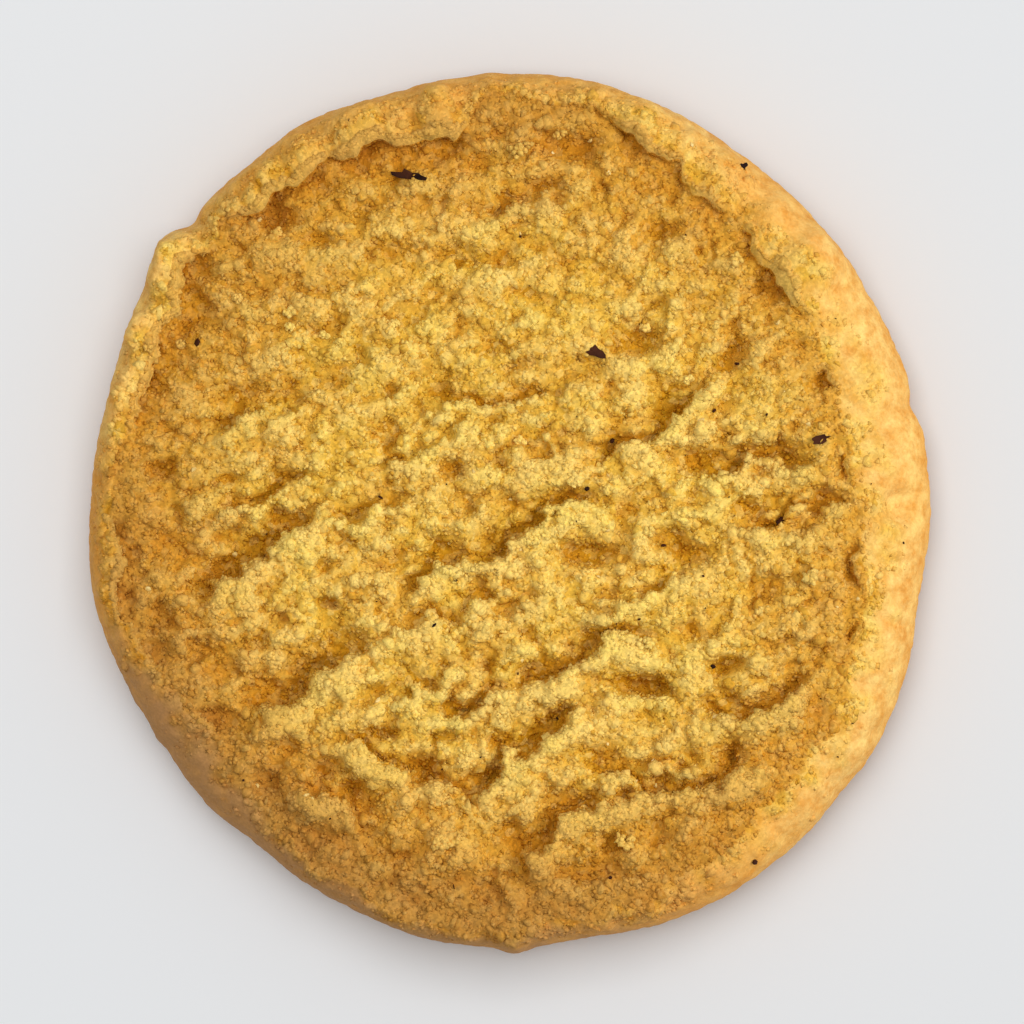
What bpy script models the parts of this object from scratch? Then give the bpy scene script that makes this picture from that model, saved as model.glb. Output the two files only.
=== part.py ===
"""Round shortbread biscuit with flecks of dried rose petal, modelled as one solid.

The dough was pushed through a round die and cut off with a wire. So a smooth skin wraps the side and the
base, and the upper face is torn: short overlapping scales of crumb, each with a raised edge over a hollow,
inside a rim that the skin lifts into a low lip here and there.

Lengths are in millimetres up to the point where a mesh is made, and MM turns them to Blender's metres.
X points right and Y away from someone who looks down on the torn face, and Z points up.
"""

import math
import random

import bmesh
import bpy
import numpy as np
from mathutils import Euler, Matrix, Vector, noise
from mathutils.bvhtree import BVHTree

for leftover in list(bpy.data.objects):
    bpy.data.objects.remove(leftover)

MM = 0.001

# The whole biscuit
MEAN_RADIUS = 30.0
WIDEST_AT = 2.6
RIM_HEIGHT = 7.4
FACE_HEIGHT = 8.1
FACE_FALL = 0.6

# The outline's departures from a circle: lobes round the rim, share of the radius, first peak in degrees
OUTLINE_LOBES = ((2, 0.023, 108), (3, 0.004, 75), (4, 0.0025, 24), (6, 0.005, 17), (10, 0.003, 6))

# Small steps, dents and bulges in the outline: degrees from +X, half width in degrees, distance outwards
OUTLINE_MARKS = (
    (15, 2.2, -0.45), (93, 2.0, 0.15), (119, 5.0, 0.15), (138, 1.8, -0.45), (142.5, 3.6, 0.75),
    (194, 5.0, 0.15), (215, 2.5, -0.2), (231, 4.5, -0.25), (270.5, 2.2, 0.4), (281, 5.0, -0.2),
    (319, 5.0, -0.2), (351, 6.0, -0.15),
)

# Where the torn face ends and the skin begins: degrees from +X, share of the outline's radius
TORN_EDGE = (
    (0, 0.835), (20, 0.825), (34, 0.85), (44, 0.83), (53, 0.87), (63, 0.88), (73, 0.91), (86, 0.945),
    (94, 0.95), (99, 0.86), (112, 0.885), (129, 0.90), (136, 0.945), (143, 0.92), (165, 0.915), (172, 0.95),
    (185, 0.94), (195, 0.95), (205, 0.905), (215, 0.885), (226, 0.895), (235, 0.94), (256, 0.97),
    (270, 0.955), (282, 0.955), (296, 0.90), (315, 0.87), (334, 0.855), (341, 0.875), (350, 0.85),
)
TORN_EDGE_RAGGED = 0.8

# Stretches where the skin stands up as a lip over the torn face: from and to in degrees, rise
LIPS = ((97, 132, 1.0), (56, 78, 0.8), (36, 49, 0.8), (141, 168, 1.0), (183, 198, 0.6))
LIP_FADE = 4.0
LIP_UNEVEN = 0.9
MOAT_DEPTH = 1.0
MOAT_WIDTH = 2.0
JOIN_WIDTH = 1.4

# The large tears. Each follows the points of a raised edge, with a hollow on the left of it and a slope away
# on the right: points, hollow's depth and width, edge's rise and slope
TEARS = (
    (((-22.6, -6.8), (-20.3, -4.3), (-18.2, -3.9), (-16.3, -2.2), (-12.6, 0.4)), 1.8, 2.6, 0.7, 4.0),
    (((-19.4, -14.6), (-17.4, -13.6), (-14.6, -12.9), (-12.4, -11.0), (-8.6, -8.8)), 1.8, 3.0, 0.7, 4.0),
    (((-8.2, -5.6), (-5.0, -4.1), (-2.2, -2.8)), 1.2, 1.6, 0.5, 1.8),
    (((-4.4, -4.9), (0.6, -2.5), (1.3, -1.6), (2.6, -0.8), (7.4, 0.5)), 1.4, 1.7, 1.2, 1.3),
    (((-0.6, -13.3), (4.4, -11.2), (5.2, -10.4), (6.8, -10.0), (11.4, -8.6)), 1.4, 1.8, 1.2, 1.3),
    (((-4.2, -21.2), (-1.0, -19.2), (0.2, -17.6), (2.4, -15.9), (5.8, -13.2)), 1.4, 1.6, 1.0, 2.0),
    (((0.0, -26.2), (2.2, -22.8), (3.8, -21.2), (7.4, -19.2)), 1.5, 1.7, 0.8, 2.6),
    (((4.2, -17.8), (7.0, -19.6), (11.2, -20.1), (14.6, -19.4), (17.6, -15.6)), 1.4, 1.6, 0.8, 2.0),
    (((7.4, -17.9), (10.6, -17.0), (14.0, -16.6)), 0.8, 1.1, 0.7, 1.1),
    (((12.4, -14.4), (15.0, -13.6), (17.2, -13.9), (19.0, -13.0), (21.4, -10.4)), 1.4, 1.5, 0.6, 2.0),
    (((4.4, 3.4), (9.0, 4.7), (10.6, 5.8), (14.4, 10.2)), 1.5, 1.8, 0.7, 2.2),
    (((12.4, 2.2), (17.1, 3.3), (22.2, 3.6)), 1.4, 1.8, 0.5, 1.6),
    (((14.2, -0.2), (17.4, -1.2), (20.0, 0.2), (25.2, 1.6)), 1.2, 1.2, 0.4, 1.8),
    (((-15.0, -19.0), (-9.0, -21.8)), 1.0, 1.5, 0.7, 1.3),
    (((-13.4, -15.2), (-8.1, -18.0), (-5.0, -19.4), (-1.4, -20.6)), 1.1, 1.6, 0.8, 1.3),
    (((-23.0, -18.0), (-16.2, -15.4)), 1.0, 1.5, 0.8, 1.5),
    (((-13.4, -0.2), (-6.2, 0.9)), 1.0, 1.4, 0.4, 2.2),
    (((-21.4, 0.0), (-13.0, 2.6)), 0.9, 1.5, 0.4, 2.0),
    (((-22.0, 4.8), (-12.6, 9.0)), 0.7, 1.6, 0.4, 2.4),
    (((-10.2, 2.6), (-1.2, 6.4)), 0.7, 1.5, 0.4, 2.4),
    (((-7.2, 8.6), (-1.0, 7.6), (4.8, 9.0)), 0.9, 1.3, 0.5, 2.4),
    (((-3.2, 2.4), (5.6, 5.8)), 0.7, 1.4, 0.5, 2.0),
    (((4.0, -7.0), (8.0, -6.2), (13.6, -3.8)), 0.9, 1.6, 0.5, 2.2),
    (((-4.2, 20.4), (5.2, 22.6)), 0.8, 1.4, 0.4, 2.0),
    (((-10.0, -8.6), (-4.4, -7.4), (0.0, -5.4)), 0.8, 1.6, 0.5, 2.2),
    (((-9.6, -13.0), (-4.8, -11.6), (-1.0, -9.4)), 0.8, 1.6, 0.5, 2.2),
    (((-4.6, -14.0), (-2.6, -13.3), (-0.2, -12.2)), 1.1, 1.2, 0.6, 1.2),
)
TEAR_EDGE_WIDTH = 1.5
TEAR_JAG = 0.9
TEAR_JAG_SIZE = 2.4
TEAR_FADE = 0.3

# Pits in the face, and mounds where the depth is below zero:
# centre, half length, half width, turn in degrees, depth
PITS = (
    ((5.2, -2.9), 2.2, 1.0, -4, 1.8),
    ((9.2, -12.1), 2.0, 0.9, -4, 1.8),
    ((14.6, 4.0), 1.4, 1.1, 0, 1.2),
    ((23.7, 2.9), 0.9, 0.9, 0, 1.5),
    ((22.0, 9.3), 1.2, 0.6, 30, 1.1),
    ((23.9, -3.8), 0.8, 1.6, -10, 1.0),
    ((23.9, -9.0), 0.6, 1.1, 0, 1.2),
    ((16.3, 11.2), 1.6, 0.8, 45, 0.9),
    ((8.8, 12.3), 1.8, 1.1, 0, 0.8),
    ((-23.8, -2.6), 1.5, 1.3, 0, 1.3),
    ((-24.4, -7.4), 1.0, 1.3, 0, 0.8),
    ((-20.7, -10.3), 1.9, 1.2, -20, 1.0),
    ((-24.4, 2.8), 1.1, 0.8, 0, 0.7),
    ((-16.3, 20.4), 1.1, 0.9, 0, 0.8),
    ((-14.0, 19.2), 1.2, 0.9, 0, 0.6),
    ((-4.0, 17.8), 2.2, 0.8, -10, 0.6),
    ((-20.3, 8.1), 1.5, 0.8, 0, 0.6),
    ((10.6, 19.6), 1.0, 0.7, 20, 0.7),
    ((14.2, 16.4), 1.5, 0.7, 0, 0.5),
    ((-17.0, -18.8), 1.1, 1.1, 0, 0.9),
    ((7.0, -23.0), 1.0, 1.5, 0, 0.8),
    ((21.0, -13.8), 0.8, 1.3, -20, 0.7),
    ((12.7, -3.0), 1.7, 0.9, 0, 1.1),
    ((17.8, -5.2), 1.3, 0.9, 30, 0.8),
    ((5.0, 25.7), 1.8, 1.0, 0, 1.0),
    ((-2.4, 24.4), 1.2, 0.9, 0, 0.8),
    ((5.9, -25.0), 2.0, 1.0, 10, 1.0),
    ((15.0, -10.7), 1.3, 0.7, 10, 0.9),
    ((6.4, -17.2), 1.4, 1.0, 30, 0.8),
    ((9.5, -14.2), 1.4, 0.8, 0, 0.8),
    ((20.4, -0.4), 1.4, 0.9, 0, 0.9),
    ((13.1, 14.4), 1.4, 1.0, 20, 0.7),
    ((-24.5, -9.8), 1.3, 1.0, 0, 0.9),
    ((-21.0, -14.5), 1.4, 1.0, 20, 0.9),
    ((-9.8, -12.7), 1.3, 0.9, 20, 0.8),
    ((-2.0, -26.6), 1.3, 0.9, 0, 0.8),
    ((7.6, -6.2), 1.6, 1.1, 20, -1.0),
    ((-6.7, 4.8), 1.4, 1.0, 20, -0.7),
    ((18.4, -14.1), 1.5, 1.0, 20, -0.8),
    ((-3.6, -23.5), 2.2, 1.3, -40, -0.9),
    ((15.1, -17.1), 1.2, 0.9, 20, 1.2),
    ((-4.2, 3.0), 1.2, 0.8, 20, 0.8),
    ((3.4, -14.4), 1.2, 0.8, 30, 0.9),
    ((-6.2, -18.2), 1.4, 1.0, -10, 1.1),
    ((-11.0, -19.6), 1.4, 0.9, -20, 1.1),
    ((-12.8, -17.7), 1.1, 0.7, 0, 0.8),
    ((-3.0, -17.2), 1.8, 1.0, 10, -0.8),
    ((0.7, -22.6), 1.0, 1.3, 0, 0.9),
    ((20.8, 13.6), 0.8, 1.6, 10, 1.0),
    ((-12.8, -6.3), 0.9, 0.4, -15, 0.7),
    ((-9.0, -15.4), 1.2, 0.4, -10, 0.7),
)

# Smaller scales of crumb between the large tears, and the clumps that all of it is made of
SCALE_DIRECTION = math.radians(26)
SCALE_SPACING = 3.0
SCALE_HEIGHT = 0.5
CLUMP_SIZE = 2.6
CLUMP_HEIGHT = 0.9

# Skin: rings down to the widest line, its unevenness, then the curve in to the base as share of the radius
# and height
SKIN_STEPS = 6
SKIN_WOBBLE = 0.25
SKIN_WOBBLE_SIZE = 6.0
BASE_CURVE = ((0.994, 1.3), (0.978, 0.4), (0.955, 0.0))

FACE_CELLS = 54

# Rose petal: centre, length, width, turn in degrees
PETALS = (
    ((-6.8, 23.2), 2.2, 0.9, -6),
    ((6.0, 11.0), 1.5, 0.9, -25),
    ((21.3, 5.1), 1.5, 0.8, 20),
    ((19.0, -0.6), 1.4, 0.7, 35),
)
PETAL_CORNERS = 9
PETAL_ABOVE = 0.3
PETAL_BELOW = 0.5

# Loose crumbs: centre and diameter of those that stand out, then the number and sizes of the others
LARGE_CRUMBS = (
    ((15.6, 17.4), 1.3), ((7.9, -22.8), 1.5), ((20.6, -4.3), 1.2), ((0.4, 25.0), 1.8), ((9.4, -9.0), 1.1),
)
SMALL_CRUMBS = 24
SMALL_CRUMB_SIZES = (0.8, 1.2)
CRUMB_SINK = 0.25
CRUMB_SEED = 7

SHORTBREAD_COLOUR = (0.62, 0.38, 0.10, 1.0)
SHORTBREAD_ROUGHNESS = 0.85


def smooth(t):
    """Eases from 0 to 1 as t does, and holds outside."""
    t = np.clip(t, 0.0, 1.0)
    return t * t * (3.0 - 2.0 * t)


def ripple(x, y, size, layer):
    """Even noise of about -0.7 to 0.7 with features of the given size, and its own pattern for each layer."""
    depth = 9.3 * layer
    return np.array([noise.noise(Vector((a / size, b / size, depth))) for a, b in zip(x, y)])


def degrees_between(angle, degrees):
    """Degrees between an angle in radians and a direction in degrees."""
    return np.abs((np.degrees(angle) - degrees + 180.0) % 360.0 - 180.0)


def outline_radius(angle):
    """Radius of the widest outline, by angle in radians."""
    share = sum(size * np.cos(lobes * (angle - math.radians(peak))) for lobes, size, peak in OUTLINE_LOBES)
    marks = sum(out * np.exp(-((degrees_between(angle, at) / half) ** 2)) for at, half, out in OUTLINE_MARKS)
    return MEAN_RADIUS * (1.0 + share) + marks


def torn_radius(angle):
    """Radius at which the torn face meets the skin."""
    degrees, shares = zip(*TORN_EDGE)
    share = np.interp(np.degrees(angle) % 360.0, degrees + (degrees[0] + 360,), shares + (shares[0],))
    ragged = ripple(MEAN_RADIUS * np.cos(angle), MEAN_RADIUS * np.sin(angle), 2.2, 7)
    return share * outline_radius(angle) + TORN_EDGE_RAGGED * ragged


def lip_rise(angle):
    """Height that the skin's edge stands above the plain rim."""
    rise = np.zeros_like(angle)
    for start, end, height in LIPS:
        middle, half = (start + end) / 2.0, (end - start) / 2.0
        away = degrees_between(angle, middle)
        rise = np.maximum(rise, height * smooth((half + LIP_FADE - away) / (2.0 * LIP_FADE)))
    uneven = ripple(MEAN_RADIUS * np.cos(angle), MEAN_RADIUS * np.sin(angle), 2.8, 9)
    return rise * (0.85 + LIP_UNEVEN * uneven)


def turned(x, y, turn):
    """Coordinates along and across a direction that is turned from +X by an angle in radians."""
    return x * math.cos(turn) + y * math.sin(turn), y * math.cos(turn) - x * math.sin(turn)


def tear(x, y, jag, path, depth, reach, rise, slope):
    """Relief of one tear, which fades out at both ends of its path."""
    start = path[0]
    turn = math.atan2(path[-1][1] - start[1], path[-1][0] - start[0])
    along, across = turned(x - start[0], y - start[1], turn)
    knots = [turned(a - start[0], b - start[1], turn) for a, b in path]
    left = across - np.interp(along, *zip(*knots)) + TEAR_JAG * jag
    share = along / knots[-1][0]
    fade = smooth(share / TEAR_FADE) * smooth((1.0 - share) / TEAR_FADE)
    hollow = -depth * np.exp(-((np.maximum(left, 0.0) / reach) ** 2))
    edge = rise * np.exp(-((np.maximum(-left, 0.0) / slope) ** 2))
    side = smooth(0.5 + left / TEAR_EDGE_WIDTH)
    return fade * (hollow * side + edge * (1.0 - side))


def pit(x, y, centre, half_length, half_width, turn, depth):
    """Relief of one pit, with a rounded floor and a steep side."""
    along, across = turned(x - centre[0], y - centre[1], math.radians(turn))
    away = (along / half_length) ** 2 + (across / half_width) ** 2
    return -depth * np.exp(-(away**1.5))


def scales(x, y):
    """Small overlapping scales: a slow rise and a quick fall, across the wire's direction."""
    across = turned(x, y, SCALE_DIRECTION)[1]
    phase = across / SCALE_SPACING + 0.9 * ripple(x, y, 7.0, 1) + 0.35 * ripple(x, y, 2.6, 2)
    phase = phase - np.floor(phase)
    saw = phase * smooth((1.0 - phase) / 0.25)
    strength = 0.6 + 0.6 * ripple(x, y, 5.0, 3)
    return SCALE_HEIGHT * strength * (saw - 0.4)


def clumps(x, y, size):
    """Rounded clumps of crumb with sharp creases between them, from about -0.5 to 0.5."""
    x = x + 0.4 * size * ripple(x, y, size, 11)
    y = y + 0.4 * size * ripple(x, y, size, 12)
    away = [noise.voronoi(Vector((a / size, 1.25 * b / size, 0.37 * size)))[0][0] for a, b in zip(x, y)]
    return 0.45 - np.array(away) ** 1.5


def face_height(x, y, angle, share):
    """Height of the torn face. share is the way from the centre, 0, to the edge of the tearing, 1."""
    jag = ripple(x, y, TEAR_JAG_SIZE, 4)
    height = FACE_HEIGHT - FACE_FALL * share**2 + scales(x, y) + CLUMP_HEIGHT * clumps(x, y, CLUMP_SIZE)
    for line in TEARS:
        height = height + tear(x, y, jag, *line)
    from_edge, rise = (1.0 - share) * torn_radius(angle), lip_rise(angle)
    joined = (1.0 - smooth(rise / 0.4)) * np.exp(-((from_edge / JOIN_WIDTH) ** 2))
    height = height + joined * (RIM_HEIGHT - height)
    height = height - MOAT_DEPTH * rise * np.exp(-((from_edge / MOAT_WIDTH) ** 2))
    for hole in PITS:
        height = height + pit(x, y, *hole)
    return height


def disc_from_square(a, b):
    """Spreads the square from -1 to 1 evenly over the unit disc, as a radius and an angle."""
    radius = np.maximum(np.abs(a), np.abs(b))
    safe = np.where(radius > 0.0, radius, 1.0)
    eighth = math.pi / 4.0
    beside = np.where(a > 0.0, eighth * b / safe, 4.0 * eighth - eighth * b / safe)
    above = np.where(b > 0.0, 2.0 * eighth - eighth * a / safe, 6.0 * eighth + eighth * a / safe)
    return radius, np.where(np.abs(a) >= np.abs(b), beside, above)


def make_torn_face(bm):
    """Makes the torn face as a round grid."""
    bmesh.ops.create_grid(bm, x_segments=FACE_CELLS, y_segments=FACE_CELLS, size=1.0)
    a, b = np.array([vertex.co.xy for vertex in bm.verts]).T
    share, angle = disc_from_square(a, b)
    radius = share * torn_radius(angle)
    x, y = radius * np.cos(angle), radius * np.sin(angle)
    height = np.where(share > 0.999, RIM_HEIGHT + lip_rise(angle), face_height(x, y, angle, share))
    for vertex, point in zip(bm.verts, zip(x, y, height)):
        vertex.co = Vector(point) * MM


def skin_points(angle, step):
    """Points of the skin and the base, by angle, at one step of the way down from the torn edge."""
    outer = outline_radius(angle)
    if step <= SKIN_STEPS:
        turn = math.pi / 2.0 * step / SKIN_STEPS
        torn = torn_radius(angle)
        flare = math.sin(turn) ** (1.0 - 0.5 * np.clip(lip_rise(angle), 0.0, 1.0))
        radius = torn + (outer - torn) * flare
        height = WIDEST_AT + (RIM_HEIGHT + lip_rise(angle) - WIDEST_AT) * math.cos(turn)
    else:
        share, level = BASE_CURVE[step - SKIN_STEPS - 1]
        radius = outer * share
        height = np.full_like(angle, level)
    x, y = outer * np.cos(angle) + height, outer * np.sin(angle) - height
    radius = radius + SKIN_WOBBLE * ripple(x, y, SKIN_WOBBLE_SIZE, 8)
    return radius * np.cos(angle), radius * np.sin(angle), height


def make_skin(bm):
    """Draws the skin down from the torn edge, ring by ring, and closes it with the flat base."""
    ring = [edge for edge in bm.edges if edge.is_boundary]
    for step in range(1, SKIN_STEPS + len(BASE_CURVE) + 1):
        made = bmesh.ops.extrude_edge_only(bm, edges=ring)["geom"]
        verts = [item for item in made if isinstance(item, bmesh.types.BMVert)]
        ring = [item for item in made if isinstance(item, bmesh.types.BMEdge)]
        angle = np.array([math.atan2(vertex.co.y, vertex.co.x) for vertex in verts])
        for vertex, point in zip(verts, zip(*skin_points(angle, step))):
            vertex.co = Vector(point) * MM
    bmesh.ops.contextual_create(bm, geom=ring)


def split_quads(bm):
    """Splits each four-sided face along its shorter diagonal, so that the edges of the tears run clean."""
    quads = [face for face in bm.faces if len(face.verts) == 4]
    bmesh.ops.triangulate(bm, faces=quads, quad_method="SHORT_EDGE")


def surface_point(surface, x, y):
    """Point of the face straight below a height above the biscuit, in millimetres."""
    start = Vector((x, y, 3.0 * FACE_HEIGHT)) * MM
    return surface.ray_cast(start, Vector((0.0, 0.0, -1.0)))[0] / MM


def make_petal(bm, surface, centre, length, width, turn):
    """Lays one scrap of petal on the face: a top and a bottom over the same ragged outline, half sunk in."""
    turn = math.radians(turn)
    points = [(0.0, 0.0)]
    for corner in range(PETAL_CORNERS):
        angle = 2.0 * math.pi * corner / PETAL_CORNERS
        ragged = 1.0 + 0.35 * noise.noise(Vector((centre[0], centre[1], 2.7 * corner)))
        u, v = 0.5 * length * ragged * math.cos(angle), 0.5 * width * ragged * math.sin(angle)
        points.append((u * math.cos(turn) - v * math.sin(turn), u * math.sin(turn) + v * math.cos(turn)))
    middle = surface_point(surface, *centre)
    top, bottom = [], []
    for u, v in points:
        ground = surface_point(surface, centre[0] + u, centre[1] + v)
        level = 0.5 * (ground.z + middle.z)
        top.append(bm.verts.new(Vector((ground.x, ground.y, level + PETAL_ABOVE)) * MM))
        bottom.append(bm.verts.new(Vector((ground.x, ground.y, level - PETAL_BELOW)) * MM))
    for corner in range(1, PETAL_CORNERS + 1):
        after = corner % PETAL_CORNERS + 1
        bm.faces.new((top[0], top[corner], top[after]))
        bm.faces.new((bottom[0], bottom[after], bottom[corner]))
        bm.faces.new((top[corner], bottom[corner], bottom[after], top[after]))


def make_crumb(bm, surface, rng, x, y, size):
    """Sets one loose crumb, an irregular lump, into the face."""
    ground = surface_point(surface, x, y)
    stretch = Matrix.Diagonal((rng.uniform(0.8, 1.2), rng.uniform(0.8, 1.2), rng.uniform(0.7, 1.0), 1.0))
    turn = Euler([rng.uniform(0.0, math.tau) for axis in range(3)]).to_matrix().to_4x4()
    place = Matrix.Translation((ground + Vector((0.0, 0.0, (0.5 - CRUMB_SINK) * size))) * MM)
    made = bmesh.ops.create_icosphere(bm, subdivisions=1, radius=0.5 * size * MM)
    for vertex in made["verts"]:
        vertex.co *= rng.uniform(0.85, 1.15)
    bmesh.ops.transform(bm, matrix=place @ stretch @ turn, verts=made["verts"])


def new_object(name, bm, collection):
    """Makes an object of the mesh in bm and frees bm."""
    mesh = bpy.data.meshes.new(name)
    bmesh.ops.recalc_face_normals(bm, faces=bm.faces)
    bm.to_mesh(mesh)
    bm.free()
    made = bpy.data.objects.new(name, mesh)
    collection.objects.link(made)
    return made


def make_toppings(surface):
    """Makes the petals and the loose crumbs, each an object of one collection, and returns the collection."""
    toppings = bpy.data.collections.new("toppings")
    bpy.context.scene.collection.children.link(toppings)
    for number, petal in enumerate(PETALS):
        bm = bmesh.new()
        make_petal(bm, surface, *petal)
        new_object(f"petal {number}", bm, toppings)
    rng = random.Random(CRUMB_SEED)
    crumbs = [(x, y, size) for (x, y), size in LARGE_CRUMBS]
    while len(crumbs) < len(LARGE_CRUMBS) + SMALL_CRUMBS:
        radius = 0.8 * MEAN_RADIUS * math.sqrt(rng.random())
        angle = rng.uniform(0.0, math.tau)
        x, y = radius * math.cos(angle), radius * math.sin(angle)
        taken = [other[:2] for other in crumbs] + [petal[0] for petal in PETALS]
        if all(math.dist((x, y), other) > 3.0 for other in taken):
            crumbs.append((x, y, rng.uniform(*SMALL_CRUMB_SIZES)))
    for number, (x, y, size) in enumerate(crumbs):
        bm = bmesh.new()
        make_crumb(bm, surface, rng, x, y, size)
        new_object(f"crumb {number}", bm, toppings)
    return toppings


def fuse(body, toppings):
    """Joins the toppings to the body as one solid and removes their objects."""
    union = body.modifiers.new("toppings", "BOOLEAN")
    union.operation = "UNION"
    union.operand_type = "COLLECTION"
    union.collection = toppings
    union.solver = "EXACT"
    bpy.context.view_layer.objects.active = body
    bpy.ops.object.modifier_apply(modifier=union.name)
    for topping in list(toppings.objects):
        bpy.data.objects.remove(topping)
    bpy.data.collections.remove(toppings)


def centre_on_base(body):
    """Moves the mesh so that the middle of its box, at the base, is at the origin."""
    points = np.array([vertex.co for vertex in body.data.vertices])
    low, high = points.min(axis=0), points.max(axis=0)
    middle = (low + high) / 2.0
    body.data.transform(Matrix.Translation((-middle[0], -middle[1], -low[2])))


def shortbread_material():
    """Pale golden baked crumb."""
    material = bpy.data.materials.new("shortbread")
    material.use_nodes = True
    shader = material.node_tree.nodes["Principled BSDF"]
    shader.inputs["Base Color"].default_value = SHORTBREAD_COLOUR
    shader.inputs["Roughness"].default_value = SHORTBREAD_ROUGHNESS
    return material


face_and_skin = bmesh.new()
make_torn_face(face_and_skin)
make_skin(face_and_skin)
split_quads(face_and_skin)
bmesh.ops.recalc_face_normals(face_and_skin, faces=face_and_skin.faces)
bare_surface = BVHTree.FromBMesh(face_and_skin)
shortbread = new_object("shortbread", face_and_skin, bpy.context.scene.collection)
fuse(shortbread, make_toppings(bare_surface))
centre_on_base(shortbread)
shortbread.data.materials.append(shortbread_material())
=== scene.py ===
"""Rose shortbread: a round wire-cut butter biscuit, torn across the top, with scraps of dried rose petal.

Lengths are worked out in millimetres, and MM turns them to Blender's metres where a mesh, a texture, a light
or the camera takes them. The biscuit lies on its flat base with the torn face up.
"""

import math

import bmesh
import bpy
import numpy as np
from mathutils import Euler, Matrix, Vector, noise


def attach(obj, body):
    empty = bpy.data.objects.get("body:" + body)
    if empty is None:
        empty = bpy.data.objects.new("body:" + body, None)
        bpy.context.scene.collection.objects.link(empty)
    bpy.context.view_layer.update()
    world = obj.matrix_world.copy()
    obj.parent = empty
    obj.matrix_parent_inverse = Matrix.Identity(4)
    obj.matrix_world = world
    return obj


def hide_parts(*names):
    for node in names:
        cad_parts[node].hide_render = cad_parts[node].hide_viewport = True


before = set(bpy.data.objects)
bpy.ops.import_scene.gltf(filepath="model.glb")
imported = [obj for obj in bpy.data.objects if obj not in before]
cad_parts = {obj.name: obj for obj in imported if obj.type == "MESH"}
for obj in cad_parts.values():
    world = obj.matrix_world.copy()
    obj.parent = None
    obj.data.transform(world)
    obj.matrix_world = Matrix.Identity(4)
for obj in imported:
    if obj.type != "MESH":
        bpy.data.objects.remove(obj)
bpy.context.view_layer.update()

MM = 0.001


# The biscuit
# One piece of baked dough of flour, butter and sugar, pushed through a round die and cut with a wire. The
# wire tears the upper face into short overlapping scales of crumb, and the die leaves a smooth skin round the
# side. The skin stands up as a thin lip where the wire dragged the crumb out from under it.

MEAN_RADIUS = 30.0
WIDEST_AT = 2.6
RIM_HEIGHT = 7.4
FACE_HEIGHT = 8.1
FACE_FALL = 0.6

# How the outline departs from a circle: lobes round the rim, share of the radius, first peak in degrees
OUTLINE_LOBES = ((2, 0.023, 108), (3, 0.004, 75), (4, 0.0025, 24), (6, 0.005, 17), (10, 0.003, 6))

# Small steps, dents and bulges in the outline: degrees from +X, half width in degrees, distance outwards
OUTLINE_MARKS = (
    (15, 2.2, -0.45), (93, 2.0, 0.15), (119, 5.0, 0.15), (138, 1.8, -0.45), (142.5, 3.6, 0.75),
    (194, 5.0, 0.15), (215, 2.5, -0.2), (231, 4.5, -0.25), (270.5, 2.2, 0.4), (281, 5.0, -0.2),
    (319, 5.0, -0.2), (351, 6.0, -0.15),
)

# The outline is drawn this far inside the solid's box, which leaves room for the lumps of the skin
BOX_MARGIN = 0.1

# Where the torn face ends and the skin begins: degrees from +X, share of the outline's radius
TORN_EDGE = (
    (0, 0.825), (20, 0.81), (34, 0.835), (44, 0.83), (53, 0.87), (63, 0.88), (73, 0.91), (86, 0.945),
    (94, 0.95), (99, 0.86), (112, 0.89), (119, 0.905), (129, 0.905), (136, 0.945), (143, 0.92),
    (165, 0.915), (172, 0.95), (185, 0.94), (195, 0.95), (205, 0.905), (215, 0.885), (226, 0.895),
    (235, 0.94), (256, 0.97), (270, 0.955), (282, 0.955), (296, 0.90), (315, 0.875), (324, 0.885),
    (334, 0.855), (341, 0.865), (350, 0.835),
)
TORN_EDGE_RAGGED = 0.8
TORN_EDGE_RAGGED_SIZE = 2.2
TORN_EDGE_FINE = 0.45
TORN_EDGE_FINE_SIZE = 0.9

# Stretches where the skin stands up as a lip over the torn face: from and to in degrees, rise
LIPS = ((97, 132, 1.0), (56, 78, 0.8), (36, 49, 0.8), (141, 168, 1.0), (183, 198, 0.6))
LIP_FADE = 4.0
LIP_EVEN = 0.85
LIP_UNEVEN = 0.9
LIP_UNEVEN_SIZE = 2.8

# A lip is steeper inside and flatter on top than the plain rim: how much of each for a rise of 1
LIP_STEEPNESS = 0.68
LIP_FLATNESS = 0.4

# One lip is a flap that slopes in: its middle and half width in degrees, the share of its rise that its inner
# edge lacks, the share of the skin's width that the slope takes, and how much flatter its top is
FLAP_MIDDLE = 156
FLAP_HALF = 15
FLAP_LEAN = 0.8
FLAP_SLOPE = 0.9
FLAP_FLATNESS = 0.35

# Behind a lip the crumb lies lower, in a moat that the lip overhangs
MOAT_DEPTH = 1.0
MOAT_WIDTH = 2.0
UNDERCUT = 0.25
UNDERCUT_START = 0.35
UNDERCUT_WIDTH = 1.1

# Where a lip rises less than this, the crumb still joins the skin in small lumps
JOIN_LIMIT = 0.4
JOIN_WIDTH = 1.4
JOIN_LUMPS = 0.4

# How smooth the skin came off the die: degrees from +X, from 0 for crumbly to 1 for smooth
SKIN_FINISH = (
    (0, 1.0), (50, 1.0), (60, 0.4), (80, 0.3), (100, 0.0), (136, 0.0), (142, 0.5), (168, 0.5), (172, 0.0),
    (185, 0.5), (200, 0.8), (235, 0.7), (250, 0.2), (290, 0.2), (305, 0.8), (330, 1.0),
)

FINISH_UNEVEN = 0.4
FINISH_UNEVEN_SIZE = 3.0

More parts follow.
